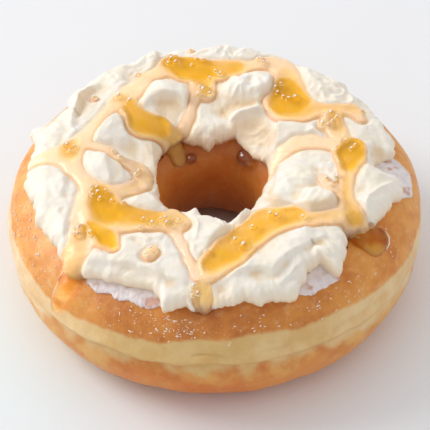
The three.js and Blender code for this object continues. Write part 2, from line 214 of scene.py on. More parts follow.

# Hollows of the cream that get painted shade, a darker warm tone: how much, then x, y, half width along
# each.
SHADED_HOLLOWS = (
    (0.9, ((-30.6, 13.5, 0.5), (-29.3, 19, 0.9), (-27.4, 23.4, 0.7))),
    (0.7, ((5, 13.4, 1.4), (9, 12, 3), (12.4, 8.6, 2.4))),
    (0.6, ((-12.6, 16, 1.4), (-7, 15, 2.4))),
    (0.7, ((11.2, -9.6, 0.8), (13.2, -13, 1.1), (20, -16.6, 0.9), (25.6, -14.4, 0.8))),
    (0.5, ((1.6, 20.6, 0.7), (6.5, 18.2, 1), (12, 18.8, 0.7))),
    (0.5, ((-22.6, -9, 0.8), (-20.6, -3, 0.8), (-22, 1.2, 0.6))),
    (0.5, ((-15, 1, 1.2), (-14, 6, 1.4))),
    (0.25, ((-21, -31.4, 0.8), (-14, -33.6, 0.8), (-9, -36, 0.8))),
)

# Deeper places that the honey fills: extra depth, then x, y, half width along each.
POOLS = (
    (1.9, ((-24.6, -11, 2.5), (-23.8, -14.5, 3.5), (-22.6, -17.8, 4.3))),
    (1.5, ((-19, -17.8, 4.4), (-13, -18.4, 3.6))),
    (0.8, ((-9.5, -18.6, 3.4), (-8, -18, 3.2))),
    (2, ((-26, -22, 2.8), (-23, -24.8, 3), (-21, -27, 2.4))),
    (1.9, ((-9.3, 31, 3.4), (-5.5, 28.6, 4.8), (-2, 28.3, 4.2))),
    (1.3, ((0, 28.3, 4), (5, 29, 3))),
    (1.2, ((-2.5, 26, 3.2), (-1.8, 22.4, 2.6))),
    (1.5, ((-19, 15.4, 2.8), (-16, 12, 4.4), (-12.5, 11.5, 3.8))),
    (0.8, ((-21, 18.8, 2.4), (-19, 17.5, 2.4))),
    (1.2, ((-32, 3.6, 3), (-31.6, 0.8, 2.8))),
    (1.9, ((16.3, 22.5, 3.4), (17, 17.6, 5.6))),
    (1, ((19, 14.6, 3.6), (20, 14.4, 3.4))),
    (0.9, ((27, 13.6, 2.4), (27.6, 9, 2.6))),
    (1.8, ((31, 3.6, 3.4), (30, 0.8, 4), (29.4, -3, 2.8))),
    (1, ((28.9, -7, 2), (28.6, -12, 2), (29.4, -16, 2.6))),
    (1.5, ((17.5, -18, 3.4), (11.5, -19.3, 4.8), (7.3, -23.5, 4.4), (3, -29, 4.2), (-0.5, -32.4, 3.2))),
    (0.8, ((26, -18, 2.2), (21, -19, 2.2))),
    (1.4, ((30, -18.4, 3), (31, -21, 2.6), (32.2, -22.8, 2.6))),
    (0.7, ((16.4, 27, 3), (19.5, 21, 3))),
    (0.8, ((22, 15, 2.6), (27.5, 15.8, 1.8), (31, 15.4, 2.2))),
    (0.3, ((-28.4, -24, 2.2), (-28.2, -27, 2.2))),
    (0.5, ((-16.5, -1.6, 2), (-15.4, -4.6, 2.2), (-19, -9.4, 2))),
)

# Strands of the drizzle: share of the full depth, then x, y, half width along each.
STRANDS = (
    (1, ((-16.6, 26.5, 1.4), (-13, 27.6, 1.9), (-9.5, 30.4, 3.5), (-6, 29.2, 4.3), (-2, 28.6, 3.7),
           (2, 28.8, 3.5), (5.5, 29.5, 2.7), (9, 30.3, 1.6), (11, 31, 1.8), (13.5, 31.5, 2.6))),
    (1, ((-3, 27, 3.5), (-2, 23.5, 2.6), (-1.5, 21.2, 2.3))),
    (0.7, ((13.5, 31.5, 2.6), (15.6, 30.4, 3.1), (16.5, 27.5, 3))),
    (1, ((16.5, 27.5, 3), (17, 23.5, 3.5), (17.2, 17.2, 5.7), (20, 15.5, 4), (24, 15.4, 2),
           (27.5, 15.8, 1.5), (31, 15.6, 2.2), (33, 13, 1.7))),
    (1, ((17, 17.5, 4.2), (12.5, 18.5, 1.8))),
    (1, ((27, 14.4, 1.8), (26.4, 11.6, 2.6), (27.4, 8.4, 2.5), (28.6, 5.4, 2.2))),
    (0.8, ((26.4, 11.6, 2), (24.2, 10, 1.5))),
    (1, ((31, 3.4, 3.2), (30, 1, 3.9), (29.4, -3, 2.4), (28.9, -7, 1.8), (28.6, -12, 1.7),
           (29.2, -15.5, 2.6), (30.6, -19, 3.1), (31.4, -22, 2.2))),
    (0.7, ((26.5, 4, 2), (21.7, 5.4, 1.9), (18.2, 5.2, 1.9), (15.1, 3.6, 1.8),
           (12.9, 1.4, 1.5), (12.2, -1.5, 1))),
    (1, ((29, -17, 2.4), (25.5, -18.2, 2.2), (21, -19, 2.1), (16.5, -18.3, 3.6), (11.5, -19, 4.9),
           (7.5, -23.2, 4.4), (3.5, -28.5, 4.3), (0, -32.4, 3.6), (-1.4, -35.4, 2))),
    (0.6, ((-8.3, -22.5, 1.6), (-6.6, -26.5, 1.2), (-5.2, -31, 1.1), (-3.6, -35, 1.5))),
    (1, ((-8.7, -15, 2.2), (-8.8, -18.8, 4.1), (-14, -19, 3.6), (-19, -18.6, 4.4), (-24.5, -17.5, 5.2),
           (-24.5, -12.6, 4.6), (-28, -7.5, 1.9))),
    (0.8, ((-28, -7.5, 1.9), (-30.8, -3.3, 2.2), (-32, 1.5, 3.4), (-29, 6, 2.1),
           (-26.6, 10.6, 1.3), (-24.6, 14, 1.4), (-21.6, 18, 2.4), (-18.6, 21.6, 2.7), (-16, 25, 2.2))),
    (0.7, ((-40.5, 0.6, 1.7), (-36, 1, 2.3), (-33, 0.5, 3.2))),
    (1, ((-20.3, 19, 2.6), (-18.5, 15.5, 2.6), (-16, 11.8, 3.9), (-12.5, 11.5, 3.4), (-10, 9.2, 2),
           (-8.5, 7, 1.5))),
    (0.8, ((-4.2, 24, 1.3), (-4.4, 19.5, 1.2), (-5.5, 15.5, 1.4), (-7, 12, 1.7))),
    (0.8, ((-29, 4, 1.3), (-26, 3.5, 1.2), (-22.8, 2.3, 1.5), (-20.8, 0.4, 1.1),
           (-18.8, -0.6, 1.5), (-16.6, -1.5, 2.1), (-15.2, -3.2, 2.3), (-15.6, -6, 2.2), (-18, -8.6, 2),
           (-20.5, -10, 2.2))),
    (0.6, ((-28.6, -12, 1.5), (-29, -18, 1.8))),
    (0.35, ((-29, -18, 1.8), (-28.4, -22.5, 2.8), (-28.3, -26.4, 2.7))),
    (1, ((-25.8, -21, 2.6), (-22.8, -24.6, 2.9), (-21.4, -26.8, 1.9))),
    (0.6, ((23.8, -6, 1.5), (25.2, -9, 1.7), (27.8, -10.5, 1.6))),
    (1, ((-13, -28.8, 2), (-13.6, -29.6, 2))),
    (0.4, ((-27, 20, 1.3), (-27.1, 20, 1.3))),
    (0.4, ((-5.2, 36, 1.2), (-5.3, 36, 1.2))),
)

# Honey that ran over the cream's edge onto the dough: depth, how amber it is, how much painted light (or,
# below 0, painted shade) the dough under it gets, then angle, lift, half width along each.
DRIPS = (
    (0.5, 0.45, 0, ((219.5, 60, 2.2), (222.5, 51.5, 2.8))),
    (0.7, 0.5, 0.4, ((222.6, 49, 3.1), (222.8, 43, 3.3))),
    (1.4, 0.9, 0.15, ((223.4, 39.5, 3), (223.9, 37.5, 2.6))),
    (1.6, 0.5, 0.45, ((224, 36, 2.4), (223.8, 32, 2.3))),
    (1.6, 0.1, 1, ((223.6, 28, 2.2), (223.4, 24.5, 2.1))),
    (1.5, 0.8, 0.1, ((223.3, 21.4, 2), (223.2, 20.6, 1.95))),
    (1.3, 0, 1, ((222.9, 18, 1.8), (222.8, 17, 1.7))),
    (1.9, 0.25, 1, ((134, 128, 2.8), (130.5, 136, 2), (127.5, 142, 1.7), (129, 149, 1.8))),
    (2.3, 0.2, -0.15, ((327.5, 56, 1.8), (330.5, 50.5, 2.2), (332.8, 46, 2.3))),
    (2, 0.6, 1, ((328, 50, 1.5), (328.8, 46.4, 1.8), (330.2, 44.2, 1.8))),
    (1.8, 0.1, 0.7, ((266.8, 62, 1.6), (266.6, 53.5, 2.5))),
)

# Painted highlights on the edges of those drips, drawn as pale threads: half width, then angle, lift along
# each.
PAINTED_HIGHLIGHT_EDGES = (
    (0.17, ((219.8, 43.5), (220.5, 36.5), (220.7, 28), (220.7, 20), (221.4, 15.5), (222.6, 13.2))),
    (0.24, ((334.4, 53.6), (336.2, 49.6), (336.7, 45), (336, 41), (334.2, 38.4), (331.8, 37.6))),
)

# Clear drops on the wall of the hole: angle, lift, radius.
CLEAR_DROPS = (
    (115.5, 152, 1.3),
    (54.5, 148.5, 2.1),
)

# Air bubbles in the honey: x, y, radius.
BUBBLES = (
    (-9.5, 31.5, 0.9), (-8.6, 30.6, 0.6), (-9.8, 33, 0.6), (-8.7, 32.7, 0.5), (-10.2, 30.3, 0.5),
    (-2.2, 31.3, 0.5), (-2.9, 31.7, 0.35), (-3.8, 31.8, 0.4), (0.5, 27.6, 0.45), (1.7, 26.8, 0.6),
    (-0.8, 25.2, 0.5), (-4.8, 29.5, 0.35), (-2.1, 21.6, 1), (-3.3, 20.8, 0.6), (-0.8, 20.8, 0.6),
    (-0.4, 22.2, 0.45), (-3, 22.8, 0.4), (10.3, 31.5, 0.6), (11.3, 30.6, 0.5), (10.8, 32.4, 0.4),
    (14.2, 21.6, 0.6), (14.6, 19.8, 0.6), (15.2, 23, 0.4), (15.9, 18.6, 0.5), (17, 17.7, 0.7),
    (18.7, 18, 0.9), (33.4, 15, 0.6), (26.3, 13, 0.8), (27.6, 11.8, 0.6), (25.2, 12.3, 0.5),
    (24.5, 10, 0.8), (25.7, 9.4, 0.6), (26.6, 10.6, 0.45), (28.4, 4.3, 0.6), (29.4, 4.5, 0.5),
    (31.3, 3, 0.5), (30.6, 1.8, 0.6), (27.2, 2.6, 0.5), (26, -5, 0.7), (27, -6.2, 0.7),
    (24.7, -6.6, 0.5), (26.5, -7.8, 0.5), (25.6, -9, 0.4), (12.4, -18, 0.9), (13.7, -18.6, 0.7),
    (19.3, -19.2, 0.6), (8.5, -22, 0.6), (4.8, -26.4, 0.9), (6.7, -28, 1.2), (-1.5, -29.5, 0.6),
    (-26.3, -10.3, 0.5), (-25.2, -10.6, 0.6), (-24.7, -12.1, 0.8), (-25.9, -12.9, 0.5), (-24.2, -13.7, 0.6),
    (-26.2, -11.6, 0.6), (-21.8, -14.3, 0.4), (-19.3, -14.4, 0.5), (-23.4, -11.2, 0.4), (-15, -19.8, 0.5),
    (-12.8, -21, 0.7), (-11.2, -19.6, 0.5), (-10.2, -19.2, 0.6), (-9.8, -21.1, 0.8), (-15.5, -22.2, 0.5),
    (-7.5, -20, 0.6), (-28.5, -21.5, 0.9), (-28.8, -23.2, 0.8), (-25.8, -23.2, 0.7), (-21.2, 19.2, 0.8),
    (-18.6, 17.2, 1.1), (-32, 3, 0.9), (-30.6, 2.6, 0.5), (-31.5, 1.1, 0.5), (-17, -4, 0.5),
    (-16.4, -2.9, 0.4), (-17.9, -4.9, 0.4), (-20.5, 0.3, 0.5), (-22.2, 1.9, 0.4), (-17.3, 27.2, 0.5),
    (-12.8, -28.6, 0.7), (-14.2, -29.9, 0.5), (-3.9, -37.9, 0.8), (-3, -39.2, 0.5), (-4.2, -39.4, 0.4),
    (-27, 20, 0.6), (-5.2, 36, 0.5),
)

# Thin icing that shows on the dough: angle and lift along each patch's lower edge.
ICING = (
    ((227.5, 43.5), (233, 42.5), (237.5, 44), (241, 42.5), (245.5, 45), (249.5, 44.5), (256, 46)),
    ((297, 47), (298.5, 46), (303, 45), (307.5, 45.5), (312, 47)),
    ((351, 44), (354, 36), (357, 31), (361, 30), (365, 33), (368, 41), (370, 47)),
    ((374, 47), (378, 42), (383, 42), (387, 48)),
    ((171, 45), (174, 40), (178, 41), (181, 46)),
)

# Where flecks of glaze lie: middle angle, spread, lowest and highest lift, count.
SPECKS = (
    (261, 4, 29, 41, 80),
    (250, 7, 24, 42, 40),
    (282, 8, 30, 44, 30),
    (305, 10, 28, 42, 24),
    (212, 10, 18, 44, 40),
    (194, 9, 18, 44, 50),
    (330, 14, 26, 46, 30),
    (90, 80, 24, 44, 60),
)


def smooth_step(value, low, high):
    """0 to 1 as the value goes from low to high, level at both ends."""
    share = np.clip((value - low) / (high - low), 0, 1)
    return share * share * (3 - 2 * share)


def round_the_ring(pairs, angle):
    """Value at each angle in a list of (angle, value) pairs that runs once round the ring."""
    knots = np.array(pairs, float)
    knots = np.vstack([knots[-1] - (360, 0), knots, knots[0] + (360, 0)])
    turned = np.mod(angle, 360)
    after = np.clip(np.searchsorted(knots[:, 0], turned, side="right"), 1, len(knots) - 1)
    low, high = knots[after - 1], knots[after]
    share = smooth_step(turned, low[..., 0], high[..., 0])
    return low[..., 1] + (high[..., 1] - low[..., 1]) * share


GRADIENTS = np.random.default_rng(7).normal(size=(512, 3))
GRADIENTS /= np.linalg.norm(GRADIENTS, axis=1)[:, None]
HASH = np.array((73856093, 19349663, 83492791))


def noise(points, scale, seed=0):
    """Smooth gradient noise, about -1 to 1, whose lumps are about scale wide."""
    spot = np.asarray(points, float) / scale + 17.3 * (seed + 1)
    cell = np.floor(spot).astype(np.int64)
    inside = spot - cell
    fade = inside**3 * (inside * (inside * 6 - 15) + 10)
    total = np.zeros(spot.shape[:-1])
    for corner in itertools.product((0, 1), repeat=3):
        at = (cell + corner) * HASH
        pick = (at[..., 0] ^ at[..., 1] ^ at[..., 2]) & 511
        weight = np.prod(np.where(corner, fade, 1 - fade), axis=-1)
        total += weight * np.sum(GRADIENTS[pick] * (inside - corner), axis=-1)
    return total * 1.6


def dough_swell(angle, lift):
    """Broad unevenness of the ring, as a share of its section."""
    around, up = np.radians(angle), np.radians(lift)
    return (0.008 * np.sin(2 * around + 0.6) + 0.006 * np.sin(3 * around + 2 * up + 1.9)
            + 0.005 * np.sin(5 * around - up + 0.4))


def dough_skin(angle, lift, height=0.0, relief=0.0):
    """Points at a height above the dough's skin. relief is the skin's own unevenness."""
    around, up = np.radians(angle), np.radians(lift)
    half_width, half_height = SECTION_WIDTH / 2, SECTION_HEIGHT / 2
    wide, high = np.cos(up), np.sin(up)
    total = np.abs(wide / half_width) ** SECTION_POWER + np.abs(high / half_height) ** SECTION_POWER
    reach = total ** (-1 / SECTION_POWER) * (1 + dough_swell(angle, lift)) + relief
    slope_r = np.sign(wide) * np.abs(reach * wide) ** (SECTION_POWER - 1) / half_width**SECTION_POWER
    slope_z = np.sign(high) * np.abs(reach * high) ** (SECTION_POWER - 1) / half_height**SECTION_POWER
    length = np.hypot(slope_r, slope_z)
    r = OUTER_RADIUS - half_width + reach * wide + slope_r / length * height
    z = half_height + reach * high - SETTLED + slope_z / length * height
    return np.stack([r * np.cos(around), r * np.sin(around), np.maximum(z, 0)], -1)


def mounds_height(x, y):
    """Height that the puffs add to the cream, and hollows take from it."""
    total = np.zeros_like(x)
    for at_x, at_y, half_length, half_width, turn, height, flatness in MOUNDS:
        cosine, sine = math.cos(math.radians(turn)), math.sin(math.radians(turn))
        along = ((x - at_x) * cosine + (y - at_y) * sine) / half_length
        across = ((y - at_y) * cosine - (x - at_x) * sine) / half_width
        total += height * np.exp(-((along**2 + across**2) ** flatness))
    return total


def along_segment(x, y, start, end):
    """Share of the way along a segment to its place nearest each point, and how far off that is."""
    dx, dy = end[0] - start[0], end[1] - start[1]
    share = np.clip(((x - start[0]) * dx + (y - start[1]) * dy) / (dx * dx + dy * dy), 0, 1)
    return share, np.hypot(x - start[0] - share * dx, y - start[1] - share * dy)


def folds_height(x, y):
    """Each fold rises steeply on the right of its crest line and runs out gently on the left."""
    total = np.zeros_like(x)
    for height, run_out, crease, points in FOLDS:
        nearest = np.full_like(x, 1e9)
        side = np.zeros_like(x)
        fade = np.zeros_like(x)
        for index, (start, end) in enumerate(itertools.pairwise(points)):
            along, away = along_segment(x, y, start, end)
            left = (end[0] - start[0]) * (y - start[1]) - (end[1] - start[1]) * (x - start[0])
            closer = away < nearest - 1e-6
            nearest = np.where(closer, away, nearest)
            side = np.where(closer, np.sign(left), side)
            fade = np.where(closer, (index + along) / (len(points) - 1), fade)
        ends = np.sqrt(np.clip(4 * fade * (1 - fade), 0, 1))
        raised = height * np.exp(-((nearest / run_out) ** 1.5))
        lowered = (height + crease) * np.exp(-((nearest / 0.45) ** 1.2)) - crease * np.exp(-nearest / 1.6)
        total += ends * np.where(side >= 0, raised, lowered)
    return total


def strands_reach(strands, x, y):
    """How far inside the strands' outline each place is, in mm, and the share or depth there."""
    total = np.zeros_like(x)
    value_total = np.zeros_like(x)
    for value, points in strands:
        for start, end in itertools.pairwise(points):
            along, away = along_segment(x, y, start, end)
            inside = start[2] + (end[2] - start[2]) * along - away
            weight = np.exp(np.clip(inside / STRAND_BLEND, -30, 30))
            total += weight
            value_total += weight * value
    total = np.maximum(total, 1e-12)
    return np.log(total) * STRAND_BLEND - 0.2, value_total / total


def drips_reach(angle, lift):
    """How far inside the drips' outline each place is, in mm, and their depth, amber and paleness, which is
    painted light on the dough under them (below 0, painted shade).
    """
    spot = dough_skin(angle, lift, 1.0)
    mm_per_degree = np.hypot(spot[..., 0], spot[..., 1]) * math.pi / 180
    total = np.zeros_like(spot[..., 0])
    looks = np.zeros(total.shape + (3,))
    for depth, amber, pale, points in DRIPS:
        first = points[0][0]
        x = ((angle - first + 180) % 360 - 180) * mm_per_degree
        line = []
        for at_angle, at_lift, half_width in points:
            radius = dough_skin(np.float64(0), np.float64(at_lift), 1.0)[0]
            line.append(((at_angle - first) * radius * math.pi / 180, at_lift * ARC_PER_DEGREE, half_width))
        here, _ = strands_reach(((1.0, line),), x, lift * ARC_PER_DEGREE)
        weight = np.exp(np.clip(here / DRIP_BLEND, -30, 30))
        total += weight
        looks += weight[..., None] * (depth, amber, pale)
    looks /= total[..., None]
    return np.log(total) * DRIP_BLEND, looks[..., 0], looks[..., 1], looks[..., 2]


def domes_height(x, y):
    """Bubbles that stand up through the honey's surface."""
    total = np.zeros_like(x)
    for at_x, at_y, radius in BUBBLES:
        radius = DOME_SPREAD * radius
        total = np.maximum(total, np.sqrt(np.clip(radius**2 - (x - at_x) ** 2 - (y - at_y) ** 2, 0, None)))
    return DOME_RISE * total


def bead(share):
    """Height of a bead of liquid, 0 to 1, by the share of the way in from its edge. Outside, it dips."""
    inside = np.clip(share, 0, 1)
    return np.sqrt(1 - (1 - inside) ** 2) + np.clip(share * 2.5, -0.8, 0)


def edge_share(distance, tip):
    """The cream's depth near its edge, as a share: rounded, down to a blunt tip."""
    inside = np.clip(distance / EDGE_ROUNDING, 0, 1)
    rounded = (1 - (1 - inside) ** EDGE_POWER) ** (1 / EDGE_POWER)
    return tip + (1 - tip) * rounded


def drip_cover(angle, lift):
    """1 where a drip runs over the cream's edge, 0 elsewhere."""
    reach, _, _, _ = drips_reach(angle, lift)
    return smooth_step(reach, -1.0, 0.8)


def edge_ring(angle):
    """Points on a level ring near the cream's edge, from which the noise of the edges is read."""
    around = np.radians(angle)
    return np.stack([EDGE_RADIUS * np.cos(around), EDGE_RADIUS * np.sin(around), 0 * around], -1)


def cream_edges(angle):
    """Lift of the cream's outer and inner edge, with the ragged unevenness of a knife's strokes."""
    ring = edge_ring(angle)
    ragged = 1.8 * noise(ring, 3.6, 1) + 1.4 * noise(ring, 1.3, 2) - 2.4 * np.abs(noise(ring, 2.6, 5)) + 0.6
    ragged *= 1 - 0.75 * np.exp(-(((np.mod(angle, 360) - 241) / 9) ** 4))
    outer = round_the_ring(OUTER_EDGE, angle) + ragged
    inner = round_the_ring(INNER_EDGE, angle) + 1.4 * noise(ring * 0.5, 2.6, 3) + 0.5 * noise(ring, 1.6, 4)
    return outer, inner


class Topping:
    """Heights of the cream and of the honey on it, over the dough, at places round the ring."""

    def __init__(self, angle, lift):
        self.angle, self.lift = np.broadcast_arrays(angle, lift)
        self.spot = dough_skin(self.angle, self.lift, CREAM_DEPTH)
        outer, inner = cream_edges(angle)
        self.from_outer = (lift - outer) * ARC_PER_DEGREE
        self.from_inner = (inner - lift) * ARC_PER_DEGREE
        self.beyond = np.minimum(self.from_outer, self.from_inner)
        self.outer_tip = TIP_SHARE * (1 - 0.8 * drip_cover(np.asarray(angle, float), outer))
        self.inner_tip = TIP_SHARE * (1 - 0.8 * drip_cover(np.asarray(angle, float), inner))
        towards_hole = smooth_step(lift, 95, inner)
        self.base = CREAM_DEPTH * (1 + (round_the_ring(INNER_DEPTH, angle) - 1) * towards_hole)
        self.set_honey()
        self.set_heights()

    def set_honey(self):
        """How far inside the honey's outline each place is, how the honey swells, and its colour."""
        x, y = self.spot[..., 0], self.spot[..., 1]
        main_reach, self.main_share = strands_reach(STRANDS, x, y)
        main_reach = np.minimum(main_reach, self.beyond + 0.3)
        pools = tint = 0.0
        for pool in POOLS:
            pool_reach, pool_depth = strands_reach((pool,), x, y)
            pools += (pool_depth * smooth_step(pool_reach, -0.6, 2.8)) ** 4
            tint += (pool_depth * smooth_step(pool_reach, -0.6, 1.8)) ** 4
        tint = tint**0.25 * smooth_step(main_reach, 0.1, 1.3) * (1 + 0.25 * noise(self.spot, 3.0, 34))
        drip_reach, drip_depth, amber, _ = drips_reach(self.angle, self.lift)
        in_drip = smooth_step(drip_reach, -0.2, 0.8)
        self.main_crown = HONEY_DEPTH * self.main_share * bead(main_reach / HONEY_ROUNDING)
        self.drip_crown = drip_depth * bead(drip_reach / (1.1 * drip_depth))
        self.hollow = 0.5 * pools**0.25 * smooth_step(main_reach, 0.2, 2.0)
        self.reach = np.maximum(main_reach, drip_reach)
        self.share = np.maximum(self.main_share, in_drip)
        self.deep = np.maximum(smooth_step(tint, 0.0, 1.9), amber * in_drip)

    def set_heights(self):
        """Heights of the cream, which the honey levels and hollows, and of the honey."""
        x, y = self.spot[..., 0], self.spot[..., 1]
        mounds = mounds_height(x, y)
        folds = folds_height(x, y)
        free = self.base + mounds + folds + self.relief()
        level = 0.6 * smooth_step(self.main_share, 0.3, 0.9)
        surface = self.base + (1 - level) * mounds + (0.9 - level) * folds - HONEY_SUNK
        under = surface - 0.1 - self.hollow + 0.5 * np.maximum(self.main_crown, 0)
        covered = smooth_step(self.reach, -0.9, 0.05)
        height = np.maximum(free + (under - free) * covered, THINNEST)
        edge = edge_share(self.from_outer, self.outer_tip) * edge_share(self.from_inner, self.inner_tip)
        self.cream = height * edge
        on_cream = smooth_step(self.beyond, -0.5, 0.3)
        run_off = smooth_step(self.beyond, -4.2, 0.3) * (1 - on_cream)
        footing = surface * (edge * on_cream + run_off * np.minimum(self.outer_tip, self.inner_tip))
        self.honey = footing + np.maximum(self.main_crown, self.drip_crown) + domes_height(x, y)

    def relief(self):
        """The cream's own unevenness: ridges, crests, strokes of the knife and torn lumps."""
        warp = np.stack([noise(self.spot, 7, seed) for seed in (11, 12, 13)], -1)
        moved = self.spot + 3.0 * warp
        ridges = 0.4 - np.abs(noise(moved, 6.5, 14))
        small = noise(moved, 2.6, 15)
        around = np.radians(self.angle)
        reach = np.hypot(self.spot[..., 0], self.spot[..., 1])
        strokes = noise(np.stack([reach / 1.1, around * 5.5, 0 * around], -1), 1.0, 17)
        patches = smooth_step(noise(self.spot, 8, 18), -0.1, 0.4)
        lumpy = 0.15 + np.zeros_like(self.lift)
        for at_x, at_y, radius in LUMPY:
            away = np.hypot(self.spot[..., 0] - at_x, self.spot[..., 1] - at_y) / radius
            lumpy = np.maximum(lumpy, np.exp(-(away**4)))
        lumps = 0.5 - 1.4 * np.abs(noise(moved, 3.0, 20)) + 0.25 * noise(self.spot, 1.1, 16)
        crests = np.minimum(noise(moved, 7.5, 31), noise(moved, 7.5, 32)) + 0.25
        fine = 0.3 - np.abs(noise(moved, 1.7, 33))
        return (0.6 * ridges + 1.0 * crests + 0.12 * small + 0.2 * fine + 0.28 * strokes * patches
                + 0.8 * lumps * lumpy)


def cell_corners(column, beside, row, rows):
    """Numbers of the four corners of a grid's cells, between a column and the one beside it."""
    low, low_beside = column * rows + row, beside * rows + row
    return np.stack([low, low_beside, low_beside + 1, low + 1], -1)


def closed_ring(points):
    """Quads of a ring of closed loops: points is columns by rows by 3."""
    columns, rows = points.shape[:2]
    here = np.arange(columns * rows).reshape(columns, rows)
    beside = np.roll(here, -1, 0)
    return np.stack([here, beside, np.roll(beside, -1, 1), np.roll(here, -1, 1)], -1).reshape(-1, 4)


def mesh_piece(name, points, quads, material, slot):
    """A mesh object of quads, from points in mm."""
    mesh = bpy.data.meshes.new(name)
    points = np.asarray(points, float).reshape(-1, 3) * METRES
    mesh.vertices.add(len(points))
    mesh.vertices.foreach_set("co", points.astype(np.float32).ravel())
    mesh.loops.add(quads.size)
    mesh.loops.foreach_set("vertex_index", quads.astype(np.int32).ravel())
    mesh.polygons.add(len(quads))
    mesh.polygons.foreach_set("loop_start", np.arange(0, quads.size, 4, dtype=np.int32))
    mesh.polygons.foreach_set("use_smooth", np.full(len(quads), True))
    mesh.update(calc_edges=True)
    mesh.validate()
    mesh.materials.append(material)
    piece = bpy.data.objects.new(name, mesh)
    bpy.context.scene.collection.objects.link(piece)
    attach(piece, "root")
    return piece


def store(piece, name, values):
    """A number for each point of the mesh, which the material reads by name."""
    attribute = piece.data.attributes.new(name, "FLOAT", "POINT")
    attribute.data.foreach_set("value", np.asarray(values, np.float32).ravel())


def sheet_body(top, bottom, keep):
    """Closed body between two sheets of points, over the kept cells of their common grid.

    The grid is columns by rows and closes on itself round the ring. Gives the points, the quads and
    the numbers that the points had in both sheets.
    """
    columns, rows = top.shape[:2]
    i, j = np.nonzero(keep)
    corner = cell_corners(i, (i + 1) % columns, j, rows)
    low = columns * rows
    faces = [corner, corner[:, ::-1] + low]
    sides = (((0, -1), (0, 1)), ((1, 0), (1, 2)), ((0, 1), (2, 3)), ((-1, 0), (3, 0)))
    for (step_i, step_j), (a, b) in sides:
        beside_i, beside_j = (i + step_i) % columns, j + step_j
        inside = (beside_j >= 0) & (beside_j < rows - 1)
        open_side = ~(inside & keep[beside_i, np.clip(beside_j, 0, rows - 2)])
        edge = corner[open_side]
        faces.append(np.stack([edge[:, b], edge[:, a], edge[:, a] + low, edge[:, b] + low], -1))
    quads = np.concatenate(faces)
    used, renumbered = np.unique(quads, return_inverse=True)
    points = np.concatenate([top.reshape(-1, 3), bottom.reshape(-1, 3)])[used]
    return points, renumbered.reshape(-1, 4), used


def open_sheet(top, bottom):
    """Closed body between two grids that do not close round the ring."""
    columns, rows = top.shape[:2]
    i, j = np.meshgrid(np.arange(columns - 1), np.arange(rows - 1), indexing="ij")
    corner = cell_corners(i, i + 1, j, rows).reshape(-1, 4)
    low = columns * rows
    rim = np.concatenate([np.arange(columns) * rows, (columns - 1) * rows + np.arange(1, rows),
                          np.arange(columns - 2, -1, -1) * rows + rows - 1, np.arange(rows - 2, 0, -1)])
    after = np.roll(rim, -1)
    sides = np.stack([after, rim, rim + low, after + low], -1)
    quads = np.concatenate([corner, corner[:, ::-1] + low, sides])
    return np.concatenate([top.reshape(-1, 3), bottom.reshape(-1, 3)]), quads


def joined(parts):
    """One list of points and quads from several."""
    counts = np.cumsum([0] + [len(points) for points, _ in parts])
    quads = np.concatenate([quads + before for (_, quads), before in zip(parts, counts)])
    return np.concatenate([points for points, _ in parts]), quads


def ball(centre, radii, rings=10, sides=16):
    """A closed ball of quads, its poles closed by thin quads."""
    polar = np.linspace(0.02, math.pi - 0.02, rings)
    turn = np.arange(sides) * 2 * math.pi / sides
    polar, turn = np.meshgrid(polar, turn)
    points = np.stack([np.sin(polar) * np.cos(turn), np.sin(polar) * np.sin(turn), -np.cos(polar)], -1)
    points = points * radii + centre
    i, j = np.meshgrid(np.arange(sides), np.arange(rings - 1), indexing="ij")
    quads = [cell_corners(i, (i + 1) % sides, j, rings).reshape(-1, 4)]
    for row in (0, rings - 1):
        ring = np.arange(sides) * rings + row
        for first in range(1, sides - 2, 2):
            cap = [ring[0], ring[first], ring[first + 1], ring[first + 2]]
            quads.append([cap[::-1] if row == 0 else cap])
    return points.reshape(-1, 3), np.concatenate(quads)


def hoop(centre, outward, radius, sides=24, facets=6):
    """A thin closed hoop lying square to a direction, for the painted highlight on the rim of a bubble."""
    turn = np.arange(sides)[:, None] * 2 * math.pi / sides
    around = np.arange(facets)[None, :] * 2 * math.pi / facets
    beside = np.cross(outward, (1.0, 0.0, 0.0))
    beside /= np.linalg.norm(beside)
    other = np.cross(outward, beside)
    reach = radius + HOOP_WIDTH * np.cos(around)
    rise = np.broadcast_to(HOOP_HEIGHT * np.sin(around), (sides, facets))
    flat = np.stack([reach * np.cos(turn), reach * np.sin(turn), rise], -1)
    points = centre + flat @ np.stack([beside, other, outward])
    return points.reshape(-1, 3), closed_ring(points)


def painted_highlight_edge(half_width, line):
    """A thin closed thread on the dough's skin, fine at both ends, for a painted highlight."""
    at = np.linspace(0, len(line) - 1, 60)
    angle, lift = (np.interp(at, range(len(line)), values) for values in zip(*line))
    centre = dough_skin(angle, lift, 0.3)
    outward = dough_skin(angle, lift, 1.3) - centre
    along = np.gradient(centre, axis=0)
    beside = np.cross(along / np.linalg.norm(along, axis=1, keepdims=True), outward)
    reach = half_width * np.sqrt(np.clip(1 - (2 * at / at[-1] - 1) ** 4, 0.02, 1))[:, None, None]
    share = np.linspace(-1, 1, 7)[None, :, None]
    spread = centre[:, None] + beside[:, None] * share * reach
    rise = outward[:, None] * (np.sqrt(1 - share**2) + 0.1) * reach
    return open_sheet(spread + rise, spread - rise)


def flat_drop(angle, lift, radius, stretch, twist):
    """A flat fleck on the dough's skin."""
    here = dough_skin(angle, lift)
    beside = dough_skin(angle + 0.1, lift) - here
    upward = dough_skin(angle, lift + 0.1) - here
    beside /= np.linalg.norm(beside)
    upward /= np.linalg.norm(upward)
    outward = dough_skin(angle, lift, 1.0) - here
    first = beside * math.cos(twist) + upward * math.sin(twist)
    second = upward * math.cos(twist) - beside * math.sin(twist)
    points, quads = ball(np.zeros(3), np.array([radius * stretch, radius, radius * 0.45]), rings=4, sides=6)
    return here + outward * 0.12 + points @ np.stack([first, second, outward]), quads


